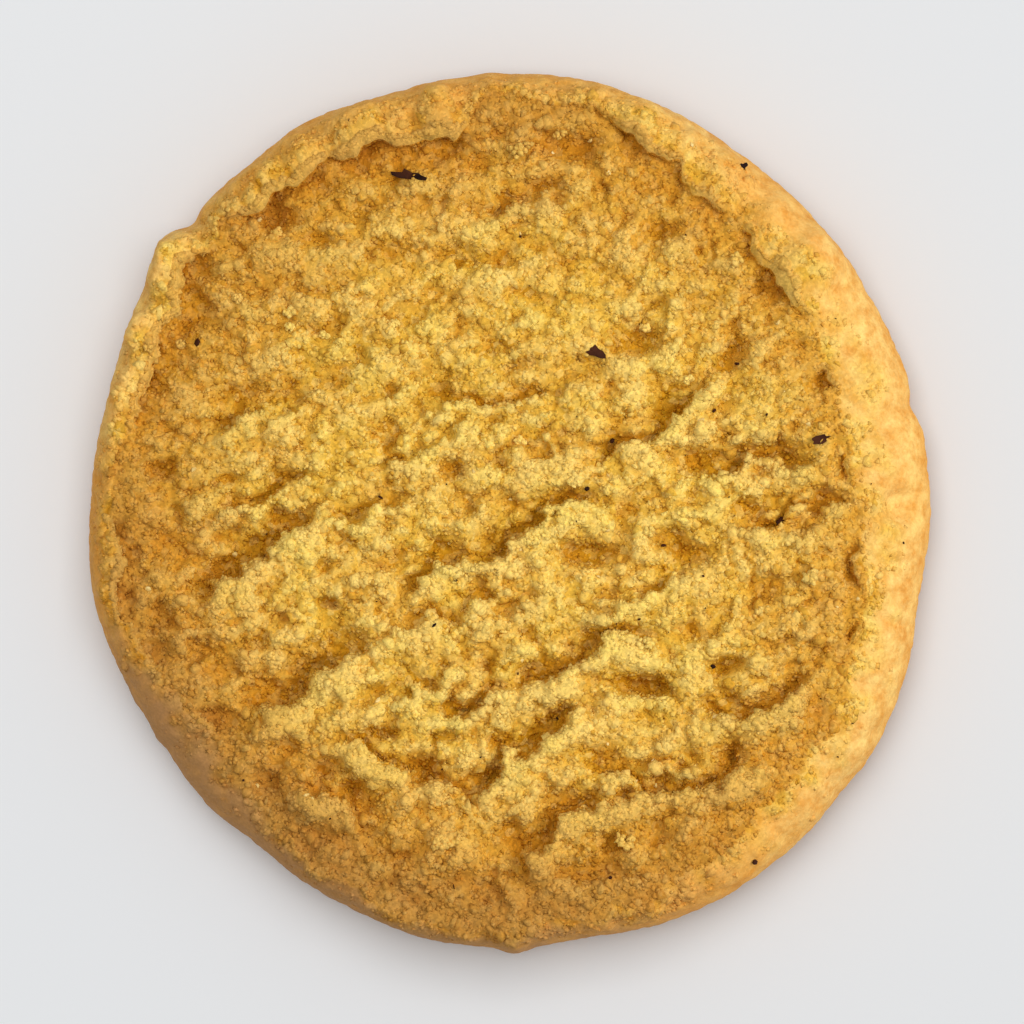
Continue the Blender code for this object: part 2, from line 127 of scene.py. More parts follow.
# How much darker the side is coloured, partly from baking and partly as painted shade where it is turned from
# the
# key light: degrees from +X, from 0 for gold to 1 for brown
SKIN_BROWN_AND_SHADE = (
    (0, 0.0), (30, 0.0), (40, 0.15), (50, 0.3), (57, 0.3), (63, 0.05), (70, 0.1), (80, 0.4), (95, 0.5),
    (128, 0.4), (138, 0.2), (142, 0.0), (168, 0.0), (174, 0.5), (195, 0.7), (210, 1.0), (245, 1.0),
    (275, 0.9), (300, 0.6), (320, 0.0),
)

# The large tears. Each follows the points of a raised edge, with a hollow on the left of it and a slope away
# on the right: points, hollow's depth and width, edge's rise and slope
TEARS = (
    (((-22.6, -6.8), (-20.3, -4.3), (-18.4, -3.5), (-16.6, -1.8), (-12.8, 0.6)), 1.8, 2.6, 0.7, 4.0),
    (((-19.4, -14.6), (-17.4, -13.6), (-14.6, -12.9), (-12.4, -11.0), (-8.6, -8.8)), 1.8, 3.0, 0.7, 4.0),
    (((-8.2, -5.6), (-5.0, -4.1), (-2.2, -2.8)), 1.2, 1.6, 0.5, 1.8),
    (((-4.4, -4.7), (-0.2, -2.5), (0.9, -1.3), (2.4, -0.1), (7.4, 1.3)), 1.4, 1.3, 1.2, 1.4),
    (((-0.6, -13.3), (4.2, -10.8), (5.2, -9.7), (6.8, -8.8), (11.2, -7.9)), 1.4, 1.8, 1.2, 1.3),
    (((-4.0, -21.0), (-1.0, -18.5), (0.0, -17.0), (2.3, -15.3), (5.5, -12.5)), 1.4, 1.6, 1.0, 2.2),
    (((0.0, -26.2), (2.2, -22.8), (3.8, -21.2), (7.4, -19.2)), 1.5, 1.7, 0.8, 2.6),
    (((4.2, -17.4), (7.0, -19.0), (11.2, -19.5), (14.6, -18.7), (17.2, -15.2)), 1.4, 1.5, 0.8, 2.0),
    (((7.4, -18.2), (10.6, -17.6), (14.0, -16.8)), 0.8, 1.1, 0.7, 1.1),
    (((12.4, -14.4), (15.0, -13.6), (17.2, -13.9), (19.0, -13.0), (21.4, -10.4)), 1.4, 1.5, 0.6, 2.0),
    (((4.4, 3.4), (9.0, 4.7), (10.6, 5.8), (14.4, 10.2)), 1.5, 1.8, 0.7, 2.2),
    (((12.4, 2.2), (17.1, 3.3), (22.2, 3.6)), 1.4, 1.8, 0.5, 1.6),
    (((14.2, -0.2), (17.4, -1.2), (20.0, 0.2), (25.2, 1.6)), 1.2, 1.2, 0.4, 1.8),
    (((-15.0, -19.0), (-9.0, -21.8)), 1.0, 1.5, 0.7, 1.3),
    (((-13.4, -15.2), (-8.1, -18.0), (-5.0, -19.4), (-1.4, -20.6)), 1.1, 1.6, 0.7, 2.1),
    (((-23.0, -18.0), (-18.4, -16.2)), 1.0, 1.4, 0.8, 1.8),
    (((-13.4, -0.2), (-6.2, 0.9)), 1.0, 1.4, 0.4, 2.2),
    (((-21.4, 0.0), (-13.0, 2.6)), 0.9, 1.5, 0.4, 2.0),
    (((-22.0, 4.8), (-12.6, 9.0)), 0.7, 1.6, 0.4, 2.4),
    (((-10.2, 2.6), (-1.2, 6.4)), 0.7, 1.5, 0.4, 2.4),
    (((-7.2, 8.6), (-1.0, 7.6), (4.8, 9.0)), 0.9, 1.3, 0.5, 2.4),
    (((-3.2, 2.4), (5.6, 5.8)), 0.7, 1.4, 0.5, 2.0),
    (((4.0, -7.0), (8.0, -6.2), (13.6, -3.8)), 0.9, 1.6, 0.5, 2.2),
    (((-4.2, 20.4), (5.2, 22.6)), 0.8, 1.4, 0.4, 2.0),
    (((-10.0, -8.6), (-4.4, -7.4), (0.0, -5.4)), 0.8, 1.6, 0.5, 2.2),
    (((-9.6, -13.0), (-4.8, -11.6), (-2.4, -10.4)), 0.8, 1.6, 0.5, 2.2),
    (((-5.2, -14.4), (-2.6, -13.3), (0.4, -12.0)), 1.7, 1.2, 0.6, 1.2),
)
TEAR_EDGE_WIDTH = 0.9

# The tears' edges are jagged, coarsely and finely, and fade out over this share of their length at each end
TEAR_JAG = 0.9
TEAR_JAG_SIZE = 2.4
TEAR_FINE_JAG = 1.5
TEAR_FINE_JAG_SIZE = 1.8
TEAR_FADE = 0.3

# Pits in the face, and mounds where the depth is below zero: centre, half length, half width, turn in
# degrees, depth
PITS = (
    ((5.2, -2.9), 2.2, 1.0, -4, 1.8),
    ((9.2, -12.1), 2.0, 0.9, -4, 1.8),
    ((12.7, 3.7), 2.4, 1.1, 0, 1.5),
    ((24.0, 3.1), 1.1, 1.0, 0, 1.6),
    ((22.0, 9.3), 1.2, 0.6, 30, 1.1),
    ((23.9, -3.8), 0.8, 1.6, -10, 1.0),
    ((23.9, -9.0), 0.6, 1.1, 0, 1.2),
    ((15.4, 10.7), 1.6, 0.9, 45, 1.0),
    ((14.5, 7.2), 1.2, 0.7, 30, 0.7),
    ((14.8, 5.4), 1.1, 0.6, 20, 0.7),
    ((-0.3, -6.7), 1.2, 0.7, 20, 0.7),
    ((-4.6, -15.7), 1.2, 0.7, 0, 0.7),
    ((4.2, 2.0), 1.3, 0.9, 10, -0.6),
    ((-13.9, 18.8), 1.2, 0.8, 0, 0.6),
    ((6.0, 16.4), 1.3, 0.8, 0, 0.6),
    ((-1.6, 11.3), 1.4, 0.7, 10, 0.6),
    ((20.8, 1.4), 1.1, 0.7, 0, 0.6),
    ((8.5, 12.0), 1.9, 1.3, 0, 1.1),
    ((-23.8, -2.6), 1.5, 1.3, 0, 1.3),
    ((-24.4, -7.4), 1.0, 1.3, 0, 0.8),
    ((-20.7, -10.3), 1.9, 1.2, -20, 1.0),
    ((-24.4, 2.8), 1.1, 0.8, 0, 0.7),
    ((-16.3, 20.4), 1.1, 0.9, 0, 0.8),
    ((-22.2, 13.2), 1.9, 1.0, 60, 0.9),
    ((-3.0, 17.8), 2.8, 0.8, -6, 0.7),
    ((-20.3, 8.1), 1.5, 0.8, 0, 0.6),
    ((10.6, 19.6), 1.0, 0.7, 20, 0.7),
    ((14.2, 16.4), 1.5, 0.7, 0, 0.5),
    ((-17.0, -18.8), 1.1, 1.1, 0, 0.9),
    ((7.0, -23.0), 1.0, 1.5, 0, 0.8),
    ((21.0, -13.8), 0.8, 1.3, -20, 0.7),
    ((12.7, -3.0), 1.7, 0.9, 0, 1.1),
    ((17.8, -5.2), 1.3, 0.9, 30, 0.8),
    ((4.0, 25.4), 2.4, 1.2, 0, 1.3),
    ((-2.4, 24.4), 1.2, 0.9, 0, 0.8),
    ((5.9, -25.0), 2.0, 1.0, 10, 1.0),
    ((15.0, -10.7), 1.3, 0.7, 10, 0.9),
    ((6.4, -17.2), 1.4, 1.0, 30, 0.8),
    ((9.5, -14.2), 1.4, 0.8, 0, 0.8),
    ((20.4, -0.4), 1.4, 0.9, 0, 0.9),
    ((13.1, 14.4), 1.4, 1.0, 20, 0.7),
    ((-24.5, -9.8), 1.3, 1.0, 0, 0.9),
    ((-21.0, -14.5), 1.4, 1.0, 20, 0.9),
    ((-9.8, -12.7), 1.3, 0.9, 20, 0.8),
    ((-2.0, -26.6), 1.3, 0.9, 0, 0.8),
    ((7.6, -6.8), 1.6, 1.1, 20, -1.0),
    ((16.1, -19.0), 1.8, 1.1, 30, -1.3),
    ((-10.1, -17.8), 1.5, 0.8, -25, -0.9),
    ((-6.7, 4.8), 1.4, 1.0, 20, -0.7),
    ((18.4, -14.1), 1.5, 1.0, 20, -0.8),
    ((-4.2, -23.4), 1.9, 1.5, -30, -1.2),
    ((15.1, -17.1), 1.2, 0.9, 20, 1.2),
    ((-4.2, 3.0), 1.2, 0.8, 20, 0.8),
    ((3.4, -14.0), 1.1, 0.7, 30, 0.4),
    ((-6.2, -18.2), 1.4, 1.0, -10, 1.1),
    ((-10.8, -19.3), 1.1, 0.6, -20, 0.7),
    ((-13.6, -20.3), 1.7, 1.0, 0, -1.0),
    ((-16.2, -14.9), 1.4, 1.0, 20, -1.0),
    ((-12.8, -17.7), 1.1, 0.7, 0, 0.8),
    ((-2.2, -17.3), 1.6, 0.9, 10, -0.8),
    ((0.0, -22.4), 0.8, 1.2, 0, 0.8),
    ((-12.8, -6.3), 0.9, 0.4, -15, 0.7),
    ((-9.0, -15.4), 1.2, 0.4, -10, 0.7),
    ((11.0, -2.0), 1.5, 1.0, 0, 1.3),
    ((1.8, -11.1), 1.7, 0.9, 10, 1.1),
    ((12.0, -8.3), 1.3, 0.8, 0, 0.7),
    ((12.9, 0.9), 1.1, 0.8, 0, 0.6),
    ((-12.7, 9.6), 1.6, 1.0, 0, 0.9),
    ((-19.9, -1.7), 1.2, 0.8, 30, 0.7),
    ((-13.6, -3.9), 1.4, 0.7, 10, 0.6),
    ((16.7, 3.1), 1.6, 0.9, 0, 1.2),
    ((18.5, -1.1), 1.3, 0.8, 0, 0.9),
    ((-15.9, -7.7), 1.3, 0.8, 0, 0.6),
    ((-14.2, -23.6), 1.2, 0.8, -40, 0.5),
)

# Smaller scales of crumb between the large tears. Each rises slowly and falls within a share of the spacing.
# Noise bends them by shares of the spacing, and makes them stronger in some patches.
SCALE_DIRECTION = math.radians(26)
SCALE_SPACING = 3.0
SCALE_HEIGHT = 0.5
SCALE_FALL = 0.25
SCALE_BEND = 0.9
SCALE_BEND_SIZE = 7.0
SCALE_FINE_BEND = 0.35
SCALE_FINE_BEND_SIZE = 2.6
SCALE_PATCH_SIZE = 5.0

# The clumps, gaps and grains that the crumb is made of
CLUMP_SIZE = 2.6
CLUMP_HEIGHT = 0.85
SMALL_CLUMP_SIZE = 1.35
SMALL_CLUMP_HEIGHT = 0.2
GAP_SIZE = 2.2
GAP_DEPTH = 0.36
GRAIN_SIZE = 0.7
GRAIN_HEIGHT = 0.1
GRAIN_FADE = 0.5

# The crumb stays below this height, and eases towards it
TOP_LIMIT = 8.78
TOP_EASE = 0.12

# A place is a hollow as far as it lies below the crumb round it, and its colour gets painted shade as far as
# it is
# one: reach in grid cells, hollowness for each mm
HOLLOW_SHADE_REACHES = ((3, 0.45), (11, 0.38))

# The mesh: cells along each side of the grid that becomes the face, and rings from there to the widest line
FACE_CELLS = 270
SKIN_RINGS = 14

# Lumps in the skin, coarse and medium: size, height where it is smooth, height that crumbly skin adds
SKIN_LUMPS = ((1.8, 0.16, 0.5), (0.8, 0.12, 0.25))
SKIN_WOBBLE = 0.25
SKIN_WOBBLE_SIZE = 6.0

# Pits in the skin: centre, width, depth
SKIN_PITS = (
    ((27.2, 0.5), 1.1, 1.1), ((26.2, 5.6), 0.6, 0.25), ((26.2, -7.5), 0.6, 0.25), ((20.9, 17.6), 0.7, 0.35),
    ((22.4, 15.4), 0.5, 0.25),
)

# From the widest line to the flat base: share of the outline's radius, height
BASE_CURVE = (
    (0.999, 2.1), (0.994, 1.3), (0.987, 0.8), (0.978, 0.4), (0.968, 0.12), (0.955, 0.0), (0.93, 0.0),
    (0.8, 0.0), (0.5, 0.0),
)


def smooth(t):
    """Eases from 0 to 1 as t does, and holds outside."""
    t = np.clip(t, 0.0, 1.0)
    return t * t * (3.0 - 2.0 * t)


def ripple(x, y, size, layer, z=0.0):
    """Even noise of about -0.7 to 0.7 with features of the given size, and its own pattern for each layer."""
    depth = np.broadcast_to(z / size + 9.3 * layer, x.shape)
    return np.array([noise.noise(Vector((a / size, b / size, c))) for a, b, c in zip(x, y, depth)])


def clumps(x, y, size, z=0.0):
    """Rounded clumps of crumb with sharp creases between them, from about -0.5 to 0.5."""
    x = x + 0.4 * size * ripple(x, y, size, 11, z)
    y = y + 0.4 * size * ripple(x, y, size, 12, z)
    depth = np.broadcast_to(z / size + 0.37 * size, x.shape)
    away = [noise.voronoi(Vector((a / size, 1.25 * b / size, c)))[0][0] for a, b, c in zip(x, y, depth)]
    return 0.45 - np.array(away) ** 1.5


def angle_between(angle, degrees):
    """Degrees between an angle in radians and a direction in degrees."""
    return np.abs((np.degrees(angle) - degrees + 180.0) % 360.0 - 180.0)


def round_table(angle, table):
    """Value at an angle, read between the entries of a table that runs once round the biscuit in degrees."""
    degrees, values = zip(*table)
    return np.interp(np.degrees(angle) % 360.0, degrees + (degrees[0] + 360,), values + (values[0],))


def outline_radius(angle):
    """Radius of the widest outline, by angle in radians."""
    share = sum(size * np.cos(lobes * (angle - math.radians(peak))) for lobes, size, peak in OUTLINE_LOBES)
    marks = sum(out * np.exp(-((angle_between(angle, at) / half) ** 2)) for at, half, out in OUTLINE_MARKS)
    return MEAN_RADIUS * (1.0 + share) + marks - BOX_MARGIN


def torn_radius(angle):
    """Radius at which the torn face meets the skin."""
    x, y = MEAN_RADIUS * np.cos(angle), MEAN_RADIUS * np.sin(angle)
    ragged = TORN_EDGE_RAGGED * ripple(x, y, TORN_EDGE_RAGGED_SIZE, 7)
    ragged = ragged + TORN_EDGE_FINE * ripple(x, y, TORN_EDGE_FINE_SIZE, 13)
    return round_table(angle, TORN_EDGE) * outline_radius(angle) + ragged


def lip_rise(angle):
    """Height that the skin's edge stands above the plain rim."""
    rise = np.zeros_like(angle)
    for start, end, height in LIPS:
        middle, half = (start + end) / 2.0, (end - start) / 2.0
        away = angle_between(angle, middle)
        rise = np.maximum(rise, height * smooth((half + LIP_FADE - away) / (2.0 * LIP_FADE)))
    uneven = ripple(MEAN_RADIUS * np.cos(angle), MEAN_RADIUS * np.sin(angle), LIP_UNEVEN_SIZE, 9)
    return rise * (LIP_EVEN + LIP_UNEVEN * uneven)


def flap_lean(angle):
    """Share of a lip's rise that its inner edge lacks, which is more than 0 on the flap alone."""
    return FLAP_LEAN * smooth((FLAP_HALF + LIP_FADE - angle_between(angle, FLAP_MIDDLE)) / LIP_FADE)


def turned(x, y, turn):
    """Coordinates along and across a direction that is turned from +X by an angle in radians."""
    return x * math.cos(turn) + y * math.sin(turn), y * math.cos(turn) - x * math.sin(turn)


def tear(x, y, jag, path, depth, reach, rise, slope):
    """Relief of one tear, which fades out at both ends of its path."""
    start = path[0]
    turn = math.atan2(path[-1][1] - start[1], path[-1][0] - start[0])
    along, across = turned(x - start[0], y - start[1], turn)
    knots = [turned(a - start[0], b - start[1], turn) for a, b in path]
    left = across - np.interp(along, *zip(*knots)) + jag
    share = along / knots[-1][0]
    fade = smooth(share / TEAR_FADE) * smooth((1.0 - share) / TEAR_FADE)
    hollow = -depth * np.exp(-((np.maximum(left, 0.0) / reach) ** 2))
    edge = rise * np.exp(-((np.maximum(-left, 0.0) / slope) ** 2))
    side = smooth(0.5 + left / TEAR_EDGE_WIDTH)
    return fade * (hollow * side + edge * (1.0 - side))


def pit(x, y, centre, half_length, half_width, turn, depth):
    """Relief of one pit, with a rounded floor and a steep side."""
    along, across = turned(x - centre[0], y - centre[1], math.radians(turn))
    away = (along / half_length) ** 2 + (across / half_width) ** 2
    return -depth * np.exp(-(away**1.5))


def scales(x, y):
    """Small overlapping scales: a slow rise and a quick fall, across the wire's direction."""
    across = turned(x, y, SCALE_DIRECTION)[1]
    phase = across / SCALE_SPACING + SCALE_BEND * ripple(x, y, SCALE_BEND_SIZE, 1)
    phase = phase + SCALE_FINE_BEND * ripple(x, y, SCALE_FINE_BEND_SIZE, 2)
    phase = phase - np.floor(phase)
    saw = phase * smooth((1.0 - phase) / SCALE_FALL)
    strength = 0.6 + 0.6 * ripple(x, y, SCALE_PATCH_SIZE, 3)
    return SCALE_HEIGHT * strength * (saw - 0.4)


def gaps(x, y):
    """Steep-sided ragged gaps between flat-topped clumps, from 0 on the clumps to 1 in the gaps."""
    wander = 0.75 * ripple(x, y, GAP_SIZE, 16) + 0.35 * ripple(x, y, 0.45 * GAP_SIZE, 17)
    return smooth((wander + 0.15 * ripple(x, y, 0.2 * GAP_SIZE, 18) - 0.06) / 0.16)


def face_height(x, y, angle, share):
    """Height of the torn face. share is the way from the centre, 0, to the edge of the tearing, 1."""
    jag = TEAR_JAG * ripple(x, y, TEAR_JAG_SIZE, 4) + TEAR_FINE_JAG * clumps(x, y, TEAR_FINE_JAG_SIZE)
    height = FACE_HEIGHT - FACE_FALL * share**2 + scales(x, y) + CLUMP_HEIGHT * clumps(x, y, CLUMP_SIZE)
    height = height + SMALL_CLUMP_HEIGHT * clumps(x, y, SMALL_CLUMP_SIZE) - GAP_DEPTH * gaps(x, y)
    for line in TEARS:
        height = height + tear(x, y, jag, *line)
    from_edge, rise = (1.0 - share) * torn_radius(angle), lip_rise(angle)
    joined = (1.0 - smooth(rise / JOIN_LIMIT)) * np.exp(-((from_edge / JOIN_WIDTH) ** 2))
    height = height + joined * (RIM_HEIGHT + JOIN_LUMPS * clumps(x, y, SMALL_CLUMP_SIZE) - height)
    height = height - MOAT_DEPTH * rise * np.exp(-((from_edge / MOAT_WIDTH) ** 2))
    for hole in PITS:
        height = height + pit(x, y, *hole)
    return TOP_LIMIT - TOP_EASE * np.logaddexp(0.0, (TOP_LIMIT - height) / TOP_EASE)


def disc_from_square(a, b):
    """Spreads the square from -1 to 1 evenly over the unit disc, as a radius and an angle."""
    radius = np.maximum(np.abs(a), np.abs(b))
    safe = np.where(radius > 0.0, radius, 1.0)
    eighth = math.pi / 4.0
    beside = np.where(a > 0.0, eighth * b / safe, 4.0 * eighth - eighth * b / safe)
    above = np.where(b > 0.0, 2.0 * eighth - eighth * a / safe, 6.0 * eighth + eighth * a / safe)
    return radius, np.where(np.abs(a) >= np.abs(b), beside, above)


def blurred(heights, reach):
    """Square array of heights, smoothed over a reach given in cells."""
    span = np.arange(-3 * reach, 3 * reach + 1)
    weights = np.exp(-0.5 * (span / reach) ** 2)
    weights = weights / weights.sum()
    padded = np.pad(heights, 3 * reach, mode="edge")
    rows = np.apply_along_axis(np.convolve, 1, padded, weights, "valid")
    return np.apply_along_axis(np.convolve, 0, rows, weights, "valid")


def grid_normals(points):
    """Unit normals of a square array of points."""
    across = np.gradient(points, axis=1)
    up = np.gradient(points, axis=0)
    normals = np.cross(across, up)
    return normals / np.linalg.norm(normals, axis=2, keepdims=True)


def torn_face(a, b):
    """Points, painted hollow shade, and browning that is partly painted shade, of the torn face for a square
    grid of places from -1 to 1.
    """
    side = FACE_CELLS + 1
    share, angle = disc_from_square(a, b)
    torn, rise = torn_radius(angle), lip_rise(angle)
    radius = share * torn
    x, y = radius * np.cos(angle), radius * np.sin(angle)
    edge_height = RIM_HEIGHT + rise * (1.0 - flap_lean(angle))
    height = np.where(share > 0.999, edge_height, face_height(x, y, angle, share))
    from_lip = (1.0 - share) * torn
    overhung = UNDERCUT * rise * smooth(from_lip / UNDERCUT_START)
    radius = radius + overhung * np.exp(-((from_lip / UNDERCUT_WIDTH) ** 2))
    points = np.stack((radius * np.cos(angle), radius * np.sin(angle), height), axis=1).reshape(side, side, 3)
    grains = smooth(from_lip / GRAIN_FADE) * (GRAIN_HEIGHT * clumps(x, y, GRAIN_SIZE))
    points = points + grains.reshape(side, side, 1) * grid_normals(points)
    level = points[:, :, 2]
    # Hollows below the crumb round them get a higher value, which paints shade into their colour
    hollow = 0.5
    for reach, strength in HOLLOW_SHADE_REACHES:
        hollow = hollow + strength * (blurred(level, reach) - level)
    # Browning grows towards the rim, and more on the side turned from the key light, where it is painted
    # shade
    near_rim = smooth((radius / outline_radius(angle) - 0.5) / 0.45)
    toast_and_shade = near_rim * (0.7 + 0.3 * round_table(angle, SKIN_BROWN_AND_SHADE))
    return points.reshape(-1, 3), np.clip(hollow, 0.0, 1.0).ravel(), toast_and_shade


def skin_points(angle, step):
    """Points, painted shade between lumps, skin colour, browning that is partly painted shade, and firmness
    of one ring, by its steps down from the face.
    """
    outer = outline_radius(angle)
    if step <= SKIN_RINGS:
        turn = math.pi / 2.0 * step / SKIN_RINGS
        torn = torn_radius(angle)
        rise, lean = lip_rise(angle), flap_lean(angle)
        lip = np.clip(rise, 0.0, 1.0)
        flare = math.sin(turn) ** (1.0 - LIP_STEEPNESS * lip)
        fall = max(math.cos(turn), 0.0) ** (1.0 - LIP_FLATNESS * lip - FLAP_FLATNESS * lean)
        rise = rise * (1.0 - lean * (1.0 - smooth(flare / FLAP_SLOPE)))
        radius = torn + (outer - torn) * flare
        height = WIDEST_AT + (RIM_HEIGHT + rise - WIDEST_AT) * fall
        out, up = math.sin(turn), math.cos(turn)
    else:
        share, level = BASE_CURVE[step - SKIN_RINGS - 1]
        radius = outer * share
        height = np.full_like(angle, level)
        out, up = (1.0 if level > 0.0 else 0.0), 0.0
    x, y = radius * np.cos(angle), radius * np.sin(angle)
    finish = round_table(angle, SKIN_FINISH) + FINISH_UNEVEN * ripple(x, y, FINISH_UNEVEN_SIZE, 14, height)
    finish = np.clip(np.maximum(finish, smooth((step / SKIN_RINGS - 0.4) / 0.4)), 0.0, 1.0)
    coarse, medium = [clumps(x, y, size, height) for size, plain, crumbly in SKIN_LUMPS]
    coarse_high, medium_high = [plain + crumbly * (1.0 - finish) for size, plain, crumbly in SKIN_LUMPS]
    lump = coarse_high * coarse + medium_high * medium
    lump = lump - 0.12 * out * (1.0 - finish) + SKIN_WOBBLE * ripple(x, y, SKIN_WOBBLE_SIZE, 8, height)
    for (pit_x, pit_y), size, depth in SKIN_PITS:
        lump = lump - depth * np.exp(-(((x - pit_x) ** 2 + (y - pit_y) ** 2) / size**2) ** 1.5)
    lump = np.minimum(lump, BOX_MARGIN + 0.5 * (1.0 - out))
    radius, height = radius + out * lump, height + up * lump
    # Low places between the skin's lumps get a higher value, which paints shade into their colour
    hollow = np.clip(0.55 - 0.8 * coarse - 0.5 * medium, 0.0, 1.0)
    # The side turned from the key light is painted browner, partly as shade and partly as browning
    brown_and_shade = np.clip(round_table(angle, SKIN_BROWN_AND_SHADE) + 0.3 * coarse, 0.0, 1.0)
    edge = np.clip(0.2 * step - 0.1 + 0.9 * ripple(x, y, 1.6, 15, height), 0.0, 1.0)
    skin = edge * (0.6 + 0.4 * finish)
    return radius * np.cos(angle), radius * np.sin(angle), height, hollow, skin, brown_and_shade, edge * finish


def last_corners(face):
    """Number that orders the biscuit's faces by the last two of their corners."""
    second, last = sorted(vertex.index for vertex in face.verts)[-2:]
    return last * len(biscuit.verts) + second


biscuit = bmesh.new()
hollow_shade_of = biscuit.verts.layers.float.new("hollow")
skin_of = biscuit.verts.layers.float.new("skin")
toast_and_shade_of = biscuit.verts.layers.float.new("toast_and_shade")
firm_of = biscuit.verts.layers.float.new("firm")
bmesh.ops.create_grid(biscuit, x_segments=FACE_CELLS, y_segments=FACE_CELLS, size=1.0)
grid = np.array([vertex.co.xy for vertex in biscuit.verts])
for vertex, point, depth, toast_and_shade in zip(biscuit.verts, *torn_face(grid[:, 0], grid[:, 1])):
    vertex.co = Vector(point) * MM
    vertex[hollow_shade_of] = depth
    vertex[toast_and_shade_of] = toast_and_shade

rim = [edge for edge in biscuit.edges if edge.is_boundary]
for ring in range(1, SKIN_RINGS + len(BASE_CURVE) + 1):
    made = bmesh.ops.extrude_edge_only(biscuit, edges=rim)["geom"]
    ring_verts = [item for item in made if isinstance(item, bmesh.types.BMVert)]
    rim = [item for item in made if isinstance(item, bmesh.types.BMEdge)]
    ring_angles = np.array([math.atan2(vertex.co.y, vertex.co.x) for vertex in ring_verts])
    for vertex, (x, y, z, depth, skin, brown_and_shade, firm) in zip(ring_verts, zip(*skin_points(ring_angles, ring))):
        vertex.co = Vector((x, y, z)) * MM
        vertex[hollow_shade_of] = depth
        vertex[skin_of] = skin
        vertex[toast_and_shade_of] = brown_and_shade
        vertex[firm_of] = firm

# Extruding leaves its faces in no fixed order, and the grains' places are chosen from them in their order, so
# they are sorted to come out the same each run
biscuit.verts.index_update()
biscuit.faces.sort(key=last_corners)
bmesh.ops.contextual_create(biscuit, geom=rim)
bmesh.ops.recalc_face_normals(biscuit, faces=biscuit.faces)
for face in biscuit.faces:
    face.smooth = True

biscuit_mesh = bpy.data.meshes.new("shortbread_biscuit")
biscuit.to_mesh(biscuit_mesh)
biscuit.free()
biscuit_piece = bpy.data.objects.new("shortbread_biscuit", biscuit_mesh)
bpy.context.scene.collection.objects.link(biscuit_piece)

# The outline's middle lies a little off the frame's origin, which is the middle of the biscuit's box
corners = np.array([vertex.co for vertex in biscuit_mesh.vertices])
offset = -(corners.min(axis=0) + corners.max(axis=0)) / 2.0
offset[2] = 0.0
for vertex in biscuit_mesh.vertices:
    vertex.co += Vector(offset)


def colour(text):
    """Linear colour of an sRGB hex value."""
    parts = [int(text[place:place + 2], 16) / 255.0 for place in (1, 3, 5)]
    return [part / 12.92 if part <= 0.04045 else ((part + 0.055) / 1.055) ** 2.4 for part in parts] + [1.0]


def node(material, kind, settings=(), **inputs):
    """Adds one node with its settings, and links or sets its inputs.

    An input is named with its spaces as underscores, or is an underscore and its number.
    """
    made = material.node_tree.nodes.new(kind)
    for name, value in dict(settings).items():
        setattr(made, name, value)
    for name, value in inputs.items():
        socket = made.inputs[int(name[1:])] if name[0] == "_" else made.inputs[name.replace("_", " ")]
        if isinstance(value, bpy.types.NodeSocket):
            material.node_tree.links.new(value, socket)
        else:
            socket.default_value = value
    return made


def per_metre(size):
    """Texture scale for features of a size in millimetres."""
    return 1.0 / (size * MM)


# Baked shortbread: matt crumb with a little butter sheen, pale on raised grains and ochre with painted shade
# in the hollows, deeper towards the rim, and a smooth mottled gold skin that browns towards the base and is
# painted darker on the side turned from the key light
CRUMB_COLOURS = (("#E7C164", "#D6A43D", "#BF831A"), ("#E8C663", "#D8AA3D", "#C28A18"))
BUTTER_PATCH_SIZE = 3.2
TINTED_GRAIN_SIZE = 0.5
SPECK_SIZE = 0.17
SKIN_MOTTLE_SIZE = 1.5
ROUGH_CRUMB_SIZE = 0.45
ROUGH_CRUMB_DEPTH = 0.25

shortbread = bpy.data.materials.new("baked_shortbread")
shortbread.use_nodes = True
shader = shortbread.node_tree.nodes["Principled BSDF"]
place = node(shortbread, "ShaderNodeTexCoord").outputs["Object"]
hollow_shade = node(shortbread, "ShaderNodeAttribute", {"attribute_name": "hollow"}).outputs["Fac"]
skin_share = node(shortbread, "ShaderNodeAttribute", {"attribute_name": "skin"}).outputs["Fac"]
toast_and_shade_share = node(shortbread, "ShaderNodeAttribute", {"attribute_name": "toast_and_shade"}).outputs["Fac"]

# Crumb from raised to hollow, pale on the raised crumb and darker ochre in the hollows as painted shade,
# where the flour left it tan and where the butter left it yellow
patch_tones = []
for raised, level_crumb, shaded_hollow_crumb in CRUMB_COLOURS:
    tone = node(shortbread, "ShaderNodeValToRGB", Fac=hollow_shade)
    tone.color_ramp.elements[0].position, tone.color_ramp.elements[0].color = 0.2, colour(raised)
    tone.color_ramp.elements[1].position, tone.color_ramp.elements[1].color = 0.9, colour(shaded_hollow_crumb)
    tone.color_ramp.elements.new(0.5).color = colour(level_crumb)
    patch_tones.append(tone.outputs["Color"])
patches = node(shortbread, "ShaderNodeTexNoise", Vector=place, Scale=per_metre(BUTTER_PATCH_SIZE), Detail=3.0)
butter = node(shortbread, "ShaderNodeMapRange", Value=patches.outputs["Fac"], From_Min=0.42, From_Max=0.6)
crumb_tone = node(
    shortbread, "ShaderNodeMix", {"data_type": "RGBA"},
    _0=butter.outputs["Result"], _6=patch_tones[0], _7=patch_tones[1],
)

